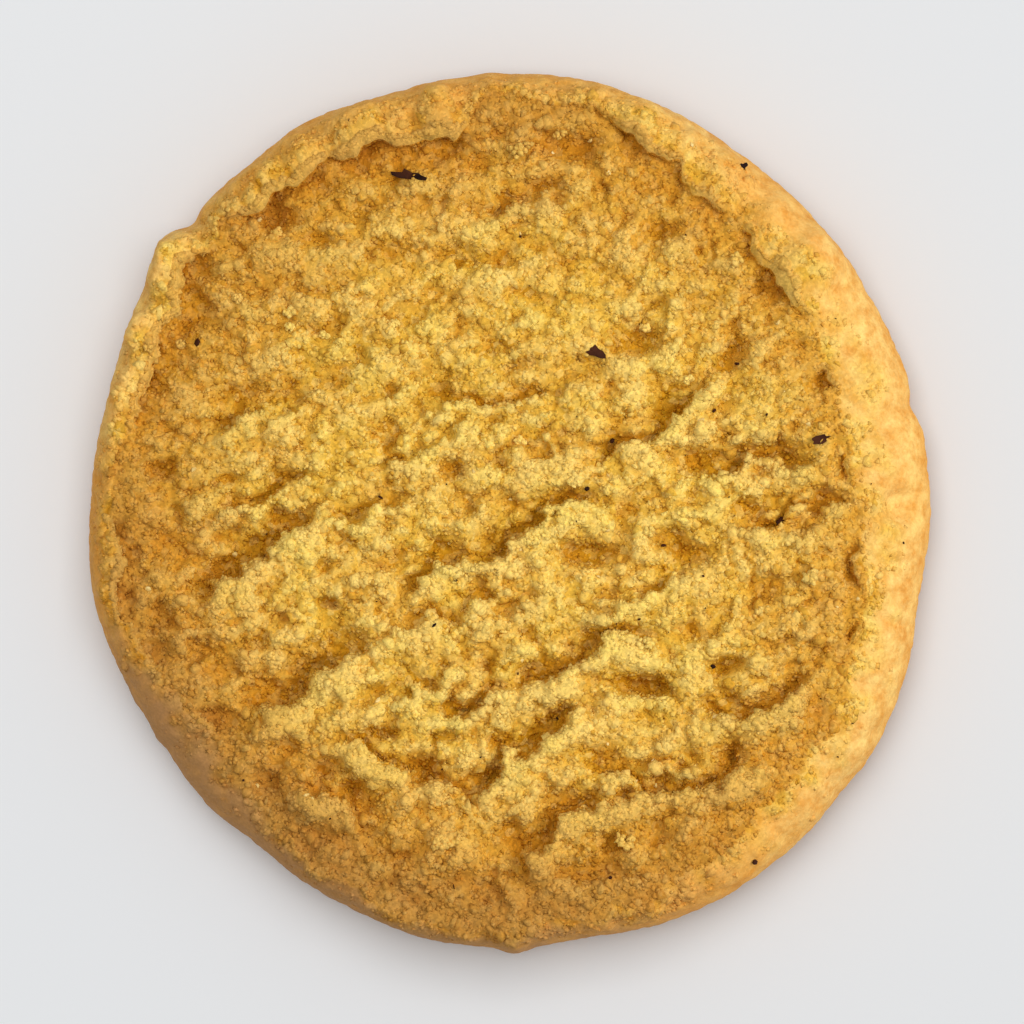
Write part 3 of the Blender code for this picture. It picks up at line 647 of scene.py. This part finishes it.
# Single grains of paler flour
cells = node(shortbread, "ShaderNodeTexVoronoi", Vector=place, Scale=per_metre(TINTED_GRAIN_SIZE))
cell_tint = node(shortbread, "ShaderNodeSeparateColor", Color=cells.outputs["Color"])
tint_share = node(
    shortbread, "ShaderNodeMapRange", Value=cell_tint.outputs["Red"],
    From_Min=0.6, From_Max=1.0, To_Min=0.0, To_Max=0.35,
)
tinted = node(
    shortbread, "ShaderNodeMix", {"data_type": "RGBA"},
    _0=tint_share.outputs["Result"], _6=crumb_tone.outputs[2], _7=colour("#F2D27A"),
)

# Crumb that toasted near the rim, painted darker still as shade on the side turned from the key light
toast_and_shade_mix = node(shortbread, "ShaderNodeMapRange", Value=toast_and_shade_share, To_Max=0.75)
toast_and_shade_tone = node(shortbread, "ShaderNodeValToRGB", Fac=toast_and_shade_share)
toast_and_shade_tone.color_ramp.elements[0].position, toast_and_shade_tone.color_ramp.elements[0].color = 0.7, colour("#BA741E")
toast_and_shade_tone.color_ramp.elements[1].position, toast_and_shade_tone.color_ramp.elements[1].color = 1.0, colour("#A06A32")
toasted_and_shaded = node(
    shortbread, "ShaderNodeMix", {"data_type": "RGBA"},
    _0=toast_and_shade_mix.outputs["Result"], _6=tinted.outputs[2], _7=toast_and_shade_tone.outputs["Color"],
)

# Specks of light and dark from single grains of flour and sugar, drawn coarse enough to show, and weaker on
# the skin
specks = node(shortbread, "ShaderNodeTexVoronoi", Vector=place, Scale=per_metre(SPECK_SIZE))
speck_tint = node(shortbread, "ShaderNodeSeparateColor", Color=specks.outputs["Color"])
speck_dark = node(shortbread, "ShaderNodeMapRange", Value=skin_share, To_Min=0.78, To_Max=0.92)
speck_pale = node(shortbread, "ShaderNodeMapRange", Value=skin_share, To_Min=1.17, To_Max=1.06)
speck_light = node(
    shortbread, "ShaderNodeMapRange", Value=speck_tint.outputs["Green"],
    To_Min=speck_dark.outputs["Result"], To_Max=speck_pale.outputs["Result"],
)

# Skin, mottled gold above and browner towards the base, and darker on the side turned from the key light,
# where the darkening is painted shade as well as browning
mottle = node(
    shortbread, "ShaderNodeTexNoise",
    Vector=place, Scale=per_metre(SKIN_MOTTLE_SIZE), Detail=6.0, Roughness=0.7,
)
skin_tone = node(shortbread, "ShaderNodeValToRGB", Fac=mottle.outputs["Fac"])
skin_tone.color_ramp.elements[0].position, skin_tone.color_ramp.elements[0].color = 0.35, colour("#D59340")
skin_tone.color_ramp.elements[1].position, skin_tone.color_ramp.elements[1].color = 0.65, colour("#F0C976")
level = node(shortbread, "ShaderNodeSeparateXYZ", Vector=place).outputs["Z"]
browning = node(
    shortbread, "ShaderNodeMapRange", {"interpolation_type": "SMOOTHSTEP"}, Value=level,
    From_Min=0.5 * MM, From_Max=6.0 * MM, To_Min=0.8, To_Max=0.0,
)
# The larger of the browning lower down and the side's darkening, which is partly painted shade, colours the
# skin
brown_and_shade_share = node(
    shortbread, "ShaderNodeMath", {"operation": "MAXIMUM"}, _0=browning.outputs["Result"], _1=toast_and_shade_share,
)
brown_and_shade_tone = node(shortbread, "ShaderNodeValToRGB", Fac=brown_and_shade_share.outputs["Value"])
brown_and_shade_tone.color_ramp.elements[0].position, brown_and_shade_tone.color_ramp.elements[0].color = 0.5, colour("#E09430")
brown_and_shade_tone.color_ramp.elements[1].position, brown_and_shade_tone.color_ramp.elements[1].color = 1.0, colour("#B48450")
browned_and_shaded = node(
    shortbread, "ShaderNodeMix", {"data_type": "RGBA"},
    _0=brown_and_shade_share.outputs["Value"], _6=skin_tone.outputs["Color"], _7=brown_and_shade_tone.outputs["Color"],
)

# The whole surface, with crumb, skin and specks put together
surface_tone = node(
    shortbread, "ShaderNodeMix", {"data_type": "RGBA"},
    _0=skin_share, _6=toasted_and_shaded.outputs[2], _7=browned_and_shaded.outputs[2],
)
speckled = node(
    shortbread, "ShaderNodeVectorMath", {"operation": "SCALE"},
    _0=surface_tone.outputs[2], Scale=speck_light.outputs["Result"],
)
shortbread.node_tree.links.new(speckled.outputs["Vector"], shader.inputs["Base Color"])
rough_crumb = node(
    shortbread, "ShaderNodeTexNoise",
    Vector=place, Scale=per_metre(ROUGH_CRUMB_SIZE), Detail=5.0, Roughness=0.7,
)
rough_bump = node(
    shortbread, "ShaderNodeBump",
    Height=rough_crumb.outputs["Fac"], Strength=0.6, Distance=ROUGH_CRUMB_DEPTH * MM,
)
shortbread.node_tree.links.new(rough_bump.outputs["Normal"], shader.inputs["Normal"])
shader.inputs["Roughness"].default_value = 0.7
shader.inputs["IOR"].default_value = 1.45
shader.inputs["Specular IOR Level"].default_value = 0.08
biscuit_mesh.materials.append(shortbread)

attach(biscuit_piece, "root")
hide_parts("shortbread")


# Crumb grains
# Grains of flour, butter and sugar that the wire pulled out of the dough, from fine ones that cover the torn
# face to coarser ones along the raised edges. Each is an uneven lump, a little over half sunk in the crumb.

FINE_GRAINS = 24000
FINE_GRAIN_SIZES = (0.25, 0.55)
COARSE_GRAINS = 9400
COARSE_GRAIN_SIZES = (0.4, 1.0)

# Grains lie above this height, and from this far inside the outline they grow more over the next stretch
GRAINS_ABOVE = 4.0
GRAINS_FROM_EDGE = 0.3
GRAINS_FADE = 0.7

# A grain's top stays below this height, with its reach as a share of its size
GRAIN_TOP = TOP_LIMIT + 0.24
GRAIN_REACH = 0.8

# How far a lump's corners stand out, and how much it is squashed or drawn out along each axis
LUMP_CORNERS = (0.55, 1.35)
LUMP_SQUASH = (0.65, 1.3)
grain_rng = np.random.default_rng(4)


def surface_values(kind, name, width):
    """Values of one property of the biscuit's faces or vertices, as an array."""
    items = biscuit_mesh.polygons if kind == "face" else biscuit_mesh.attributes[name].data
    values = np.empty(len(items) * width)
    items.foreach_get(name if kind == "face" else "value", values)
    return values.reshape(-1, width) if width > 1 else values


spot_corner = np.array([face.vertices[0] for face in biscuit_mesh.polygons])
spot_centre = surface_values("face", "center", 3) / MM
spot_normal = surface_values("face", "normal", 3)
spot_area = surface_values("face", "area", 1)
# The grains take over the painted hollow shade and the browning, partly painted shade, of the spot they sit
# on
spot_hollow_shade = surface_values("vertex", "hollow", 1)[spot_corner]
spot_toast_and_shade = surface_values("vertex", "toast_and_shade", 1)[spot_corner]
spot_skin = surface_values("vertex", "skin", 1)[spot_corner]
spot_crumb = 1.0 - surface_values("vertex", "firm", 1)[spot_corner]
spot_angle = np.arctan2(spot_centre[:, 1], spot_centre[:, 0])
spot_edge = outline_radius(spot_angle) - np.hypot(spot_centre[:, 0], spot_centre[:, 1])

# Grains lie thick on crumb and thin on firm skin, and leave the outline and the lower side free
spot_crumb = np.clip(spot_crumb * 1.6 - 0.55, 0.03, 1.0)
spot_crumb = spot_crumb * smooth((spot_edge - GRAINS_FROM_EDGE) / GRAINS_FADE)
spot_crumb = spot_crumb * (spot_centre[:, 2] > GRAINS_ABOVE)


def lump_shape(level):
    """Corners and triangles of a round lump of unit size, coarse at level 0 and finer at level 1."""
    lump = bmesh.new()
    if level:
        bmesh.ops.create_icosphere(lump, subdivisions=1, radius=0.5)
    else:
        bmesh.ops.create_uvsphere(lump, u_segments=4, v_segments=2, radius=0.5)
    corners = np.array([vertex.co for vertex in lump.verts])
    faces = np.array([[vertex.index for vertex in face.verts] for face in lump.faces])
    lump.free()
    return corners, faces


def lump_cloud(name, level, middles, sizes, tones, toasts_and_shade, skins, rng):
    """Piece of many uneven lumps, from their middles, sizes, painted hollow shade, browning that is partly
    painted shade, and skin colour.
    """
    corners, faces = lump_shape(level)
    count = len(sizes)
    turns = np.array([Euler(turn).to_matrix() for turn in rng.uniform(0.0, math.tau, (count, 3))])
    uneven = rng.uniform(*LUMP_CORNERS, (count, len(corners), 1))
    squash = rng.uniform(*LUMP_SQUASH, (count, 1, 3))
    lumps = np.einsum("nij,nkj->nki", turns, corners * squash * uneven) * sizes[:, None, None]
    middles[:, 2] = np.minimum(middles[:, 2], GRAIN_TOP - GRAIN_REACH * sizes)
    steps = len(corners) * np.arange(count)[:, None, None]
    mesh = bpy.data.meshes.new(name)
    mesh.from_pydata(((lumps + middles[:, None, :]) * MM).reshape(-1, 3), [], (faces + steps).reshape(-1, 3))
    for attribute, values in (("hollow", np.clip(tones, 0.0, 1.0)), ("toast_and_shade", toasts_and_shade), ("skin", skins)):
        layer = mesh.attributes.new(attribute, "FLOAT", "POINT")
        layer.data.foreach_set("value", np.repeat(values, len(corners)))
    mesh.shade_smooth()
    piece = bpy.data.objects.new(name, mesh)
    bpy.context.scene.collection.objects.link(piece)
    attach(piece, "root")
    return piece


def lumps_on_face(name, level, spots, sizes, sink, tone_spread, rng):
    """Piece of many uneven lumps at the given spots, sunk by a share of their size where sink is below 0."""
    middles = spot_centre[spots] + spot_normal[spots] * (sink * sizes)[:, None]
    tones = spot_hollow_shade[spots] + rng.uniform(-tone_spread, tone_spread, len(spots))
    return lump_cloud(name, level, middles, sizes, tones, spot_toast_and_shade[spots], spot_skin[spots], rng)


def chosen_spots(weight, count, rng):
    """Random faces of the biscuit, taken in proportion to a weight."""
    return rng.choice(len(weight), count, p=weight / weight.sum())


def nearest_spot(x, y):
    """Face of the biscuit's upper side that lies nearest below a place in millimetres."""
    away = np.hypot(spot_centre[:, 0] - x, spot_centre[:, 1] - y) + 100.0 * (spot_normal[:, 2] < 0.2)
    return int(np.argmin(away))


fine_spots = chosen_spots(spot_area * spot_crumb, FINE_GRAINS, grain_rng)
fine_sizes = grain_rng.uniform(*FINE_GRAIN_SIZES, FINE_GRAINS)
fine_grains = lumps_on_face(
    "fine_crumb_grains", 0, fine_spots, fine_sizes, sink=-0.09, tone_spread=0.2, rng=grain_rng,
)
fine_grains.data.materials.append(shortbread)

coarse_weight = spot_area * spot_crumb * np.clip(1.15 - spot_hollow_shade, 0.0, 1.0) ** 2
coarse_spots = chosen_spots(coarse_weight, COARSE_GRAINS, grain_rng)
spread = grain_rng.random(COARSE_GRAINS) ** 2.5
coarse_sizes = COARSE_GRAIN_SIZES[0] + (COARSE_GRAIN_SIZES[1] - COARSE_GRAIN_SIZES[0]) * spread
coarse_grains = lumps_on_face(
    "coarse_crumb_grains", 1, coarse_spots, coarse_sizes, sink=-0.22, tone_spread=0.15, rng=grain_rng,
)
coarse_grains.data.materials.append(shortbread)


# Loose crumbs
# Pale crumbs of the same dough that broke off and lie on the torn face. Each is a ragged cluster of grains,
# broader than it is high.

# Each crumb's place and its size across
LOOSE_CRUMBS = (
    (15.7, 17.5, 1.3), (8.0, -22.9, 1.6), (0.3, 25.2, 1.5), (1.0, 25.5, 1.2), (3.4, 26.4, 1.1),
    (-16.2, 19.5, 0.9), (-19.0, 15.0, 0.8), (-15.2, 14.1, 1.0), (-15.3, 12.9, 0.8), (-13.0, 12.4, 0.8),
    (-11.8, 12.0, 0.7), (-8.1, 13.1, 0.8), (-22.9, 11.7, 0.8), (-25.1, 11.5, 0.8), (9.4, 12.9, 0.9),
    (12.4, 9.4, 0.9), (0.6, 5.0, 1.0), (20.9, -4.4, 1.3), (9.4, -9.0, 1.2), (4.5, 2.2, 1.0), (9.7, -1.3, 0.9),
    (-4.6, -22.9, 1.9), (1.6, -1.6, 1.3),
)
GRAINS_IN_CRUMB = 26
CRUMB_GRAIN_SIZES = (0.28, 0.5)
CRUMB_HALF_SIZES = np.array([0.42, 0.34, 0.24])
CRUMB_LIFT = np.array([0.0, 0.0, 0.2])

# Crumbs lie more browned towards the rim: from which radius, over what width
CRUMB_TOAST_FROM = 20.0
CRUMB_TOAST_WIDTH = 10.0
crumb_rng = np.random.default_rng(9)

crumb_middles, crumb_sizes = [], []
for x, y, size in LOOSE_CRUMBS:
    spot = nearest_spot(x, y)
    middle = spot_centre[spot] + CRUMB_LIFT * size
    away = crumb_rng.normal(size=(GRAINS_IN_CRUMB, 3))
    away = away / np.linalg.norm(away, axis=1, keepdims=True) * crumb_rng.random((GRAINS_IN_CRUMB, 1)) ** 0.4
    crumb_middles.append(middle + away * CRUMB_HALF_SIZES * size)
    crumb_sizes.append(crumb_rng.uniform(*CRUMB_GRAIN_SIZES, GRAINS_IN_CRUMB) * size**0.5)
crumb_middles, crumb_sizes = np.concatenate(crumb_middles), np.concatenate(crumb_sizes)
crumb_tones = crumb_rng.uniform(0.0, 0.3, len(crumb_sizes))
crumb_radii = np.hypot(crumb_middles[:, 0], crumb_middles[:, 1])
crumb_toasts = np.clip((crumb_radii - CRUMB_TOAST_FROM) / CRUMB_TOAST_WIDTH, 0.0, 0.6)
crumb_skins = np.zeros_like(crumb_sizes)
loose_crumbs = lump_cloud(
    "loose_crumbs", 1, crumb_middles, crumb_sizes, crumb_tones, crumb_toasts, crumb_skins, crumb_rng,
)
loose_crumbs.data.materials.append(shortbread)


# Rose petal
# Dark petals of dried rose that were chopped and stirred into the dough. They show as a few curled shreds,
# small flecks and dust.

# Each shred's place, length, width and turn in degrees
PETAL_SHREDS = (
    (-6.9, 23.4, 2.4, 0.8, -8), (6.0, 11.2, 1.5, 0.9, -30), (21.6, 5.2, 1.4, 0.6, 15),
    (16.2, 24.1, 0.7, 0.5, 30), (19.0, -0.6, 1.0, 0.45, 35),
)
SHRED_CORNERS = 13
SHRED_RAGGED = (0.55, 1.25)
SHRED_CRINKLE = 0.05

# A shred's thickness, the height of its top above the crumb, the curl of its ends, and how far it lies level
# and doesn't lean with the crumb
PETAL_THICKNESS = 0.1
PETAL_LIFT = 0.18
PETAL_CURL = 0.25
PETAL_LEVELLING = 1.5

# Each fleck's place and size
PETAL_FLECKS = (
    (15.9, 10.4, 0.4), (14.1, 7.1, 0.3), (17.8, 6.9, 0.25), (7.1, 5.0, 0.3), (-17.0, -1.4, 0.35),
    (-18.8, 0.3, 0.3), (-9.0, 1.2, 0.35), (-5.3, -7.8, 0.3), (5.3, 1.7, 0.3), (10.6, -2.3, 0.4),
    (9.0, -7.4, 0.3), (14.1, -10.7, 0.3), (0.5, -11.2, 0.25), (22.7, -16.9, 0.3), (23.8, -14.6, 0.25),
    (16.9, -24.2, 0.3), (3.4, -14.2, 0.3), (-21.7, 11.8, 0.45), (-3.9, -26.0, 0.3), (6.9, -25.4, 0.3),
)
FLECK_LIFT = np.array([0.0, 0.0, 0.1])
FLECK_SQUASH = (0.25, 1.5)
PETAL_DUST = 70
DUST_SIZES = (0.08, 0.18)

# Dust lies above this height and this far inside the outline
DUST_ABOVE = 3.5
DUST_FROM_EDGE = 1.0
petal_rng = np.random.default_rng(5)

petals = bmesh.new()
for x, y, length, width, turn in PETAL_SHREDS:
    spot = nearest_spot(x, y)
    upwards = Vector((0.0, 0.0, 1.0))
    tilt = upwards.rotation_difference(Vector(spot_normal[spot]) + PETAL_LEVELLING * upwards).to_matrix()
    lean = Matrix.Rotation(math.radians(turn), 3, "Z")
    top, bottom = [], []
    for corner in range(-1, SHRED_CORNERS):
        angle = math.tau * corner / SHRED_CORNERS
        reach = 0.0 if corner < 0 else 0.5 * petal_rng.uniform(*SHRED_RAGGED)
        u, v = reach * length * math.cos(angle), reach * width * math.sin(angle)
        curl = PETAL_CURL * (u / length) ** 2 * length + petal_rng.uniform(-SHRED_CRINKLE, SHRED_CRINKLE)
        flat = lean @ Vector((u, v, 0.0))
        for ring, lift in ((top, PETAL_LIFT), (bottom, PETAL_LIFT - PETAL_THICKNESS)):
            point = Vector(spot_centre[spot]) + tilt @ Vector((flat.x, flat.y, curl + lift))
            ring.append(petals.verts.new(point * MM))
    for corner in range(1, SHRED_CORNERS + 1):
        after = corner % SHRED_CORNERS + 1
        petals.faces.new((top[0], top[corner], top[after]))
        petals.faces.new((bottom[0], bottom[after], bottom[corner]))
        petals.faces.new((top[corner], bottom[corner], bottom[after], top[after]))
fleck_shape, fleck_faces = lump_shape(1)
dust_weight = spot_area * (spot_centre[:, 2] > DUST_ABOVE) * (spot_edge > DUST_FROM_EDGE)
dust_spots = chosen_spots(dust_weight, PETAL_DUST, petal_rng)
flecks = [(nearest_spot(x, y), size) for x, y, size in PETAL_FLECKS]
flecks += zip(dust_spots, petal_rng.uniform(*DUST_SIZES, PETAL_DUST))
for spot, size in flecks:
    turn = Euler(petal_rng.uniform(0.0, math.tau, 3)).to_matrix()
    squash = petal_rng.uniform(*FLECK_SQUASH, 3)
    middle = Vector(spot_centre[spot] + 0.25 * size * spot_normal[spot] + FLECK_LIFT)
    made = [petals.verts.new((middle + turn @ Vector(corner * squash * size)) * MM) for corner in fleck_shape]
    for face in fleck_faces:
        petals.faces.new([made[corner] for corner in face])
bmesh.ops.recalc_face_normals(petals, faces=petals.faces)
petal_mesh = bpy.data.meshes.new("rose_petal_scraps")
petals.to_mesh(petal_mesh)
petals.free()
petal_piece = bpy.data.objects.new("rose_petal_scraps", petal_mesh)
bpy.context.scene.collection.objects.link(petal_piece)

# Dried rose petal: nearly black brown with browner patches and a faint waxy shine
PETAL_PATCH_SIZE = 1.2
petal_material = bpy.data.materials.new("dried_rose_petal")
petal_material.use_nodes = True
petal_shader = petal_material.node_tree.nodes["Principled BSDF"]
petal_place = node(petal_material, "ShaderNodeTexCoord").outputs["Object"]
petal_patches = node(
    petal_material, "ShaderNodeTexNoise", Vector=petal_place, Scale=per_metre(PETAL_PATCH_SIZE), Detail=3.0,
)
petal_tone = node(petal_material, "ShaderNodeValToRGB", Fac=petal_patches.outputs["Fac"])
petal_tone.color_ramp.elements[0].position, petal_tone.color_ramp.elements[0].color = 0.35, colour("#1C0A06")
petal_tone.color_ramp.elements[1].position, petal_tone.color_ramp.elements[1].color = 0.65, colour("#43200E")
petal_material.node_tree.links.new(petal_tone.outputs["Color"], petal_shader.inputs["Base Color"])
petal_shader.inputs["Roughness"].default_value = 0.8
petal_shader.inputs["Specular IOR Level"].default_value = 0.15
petal_mesh.materials.append(petal_material)
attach(petal_piece, "root")


# Sugar crystals
# Crystals of sugar that didn't melt in the bake. They stand a little out of the torn face as small glassy
# grains with flat sides.

SUGAR_CRYSTALS = 36
SUGAR_SIZES = (0.25, 0.45)
sugar_rng = np.random.default_rng(6)
sugar_spots = chosen_spots(spot_area * spot_crumb, SUGAR_CRYSTALS, sugar_rng)
sugar_sizes = sugar_rng.uniform(*SUGAR_SIZES, SUGAR_CRYSTALS)
sugar_piece = lumps_on_face(
    "sugar_crystals", 1, sugar_spots, sugar_sizes, sink=0.1, tone_spread=0.0, rng=sugar_rng,
)
sugar_piece.data.shade_flat()

# Sugar: clear glassy crystal with a warm tint from the butter
sugar_material = bpy.data.materials.new("sugar_crystal")
sugar_material.use_nodes = True
sugar_shader = sugar_material.node_tree.nodes["Principled BSDF"]
sugar_shader.inputs["Base Color"].default_value = colour("#E9C878")
sugar_shader.inputs["Roughness"].default_value = 0.25
sugar_shader.inputs["IOR"].default_value = 1.5
sugar_shader.inputs["Transmission Weight"].default_value = 0.15
sugar_piece.data.materials.append(sugar_material)


# The floor, the lights and the camera
# A plain pale sheet of card, a broad soft key from the right, a broad soft light above, and a camera so far
# above the biscuit that it sees hardly any perspective.

# From the middle of the card to each of its sides
CARD_HALF = 600.0

floor_mesh = bpy.data.meshes.new("floor")
floor = bmesh.new()
bmesh.ops.create_grid(floor, x_segments=1, y_segments=1, size=CARD_HALF * MM)
floor.to_mesh(floor_mesh)
floor.free()
floor_piece = bpy.data.objects.new("floor", floor_mesh)
bpy.context.scene.collection.objects.link(floor_piece)
card = bpy.data.materials.new("pale_card")
card.use_nodes = True
card.node_tree.nodes["Principled BSDF"].inputs["Base Color"].default_value = colour("#F5F7F9")
card.node_tree.nodes["Principled BSDF"].inputs["Roughness"].default_value = 0.9
floor_mesh.materials.append(card)


def area_light(name, azimuth, elevation, distance, size, power):
    """Square soft light that faces the biscuit, with its direction in degrees and lengths in millimetres."""
    turn, lift = math.radians(azimuth), math.radians(elevation)
    way = Vector((math.cos(lift) * math.cos(turn), math.cos(lift) * math.sin(turn), math.sin(lift)))
    light = bpy.data.lights.new(name, "AREA")
    light.size = size * MM
    light.energy = power
    lamp = bpy.data.objects.new(name, light)
    lamp.location = way * distance * MM
    lamp.rotation_euler = way.to_track_quat("Z", "Y").to_euler()
    bpy.context.scene.collection.objects.link(lamp)
    return lamp


key = area_light("key", azimuth=4, elevation=42, distance=500.0, size=250.0, power=1.6)
area_light("overhead", azimuth=95, elevation=77, distance=600.0, size=450.0, power=1.74)

# The key lights the biscuit alone, so that the card stays even
lit_by_key = bpy.data.collections.new("lit_by_key")
for piece in (biscuit_piece, fine_grains, coarse_grains, loose_crumbs, petal_piece, sugar_piece):
    lit_by_key.objects.link(piece)
key.light_linking.receiver_collection = lit_by_key

world = bpy.data.worlds.new("studio")
world.use_nodes = True
world.node_tree.nodes["Background"].inputs["Color"].default_value = colour("#FFFFFF")
world.node_tree.nodes["Background"].inputs["Strength"].default_value = 0.45
bpy.context.scene.world = world
bpy.context.scene.view_settings.view_transform = "Standard"

# The view is this wide from its middle to each side, at this height above the card
HALF_VIEW = 35.73
VIEW_LEVEL = 4.0
CAMERA_HEIGHT = 1000.0
CAMERA_PLACE = (0.13, 0.08)
camera_data = bpy.data.cameras.new("camera")
camera_data.angle = 2.0 * math.atan(HALF_VIEW / (CAMERA_HEIGHT - VIEW_LEVEL))
camera = bpy.data.objects.new("camera", camera_data)
camera.location = Vector((*CAMERA_PLACE, CAMERA_HEIGHT)) * MM
bpy.context.scene.collection.objects.link(camera)
bpy.context.scene.camera = camera
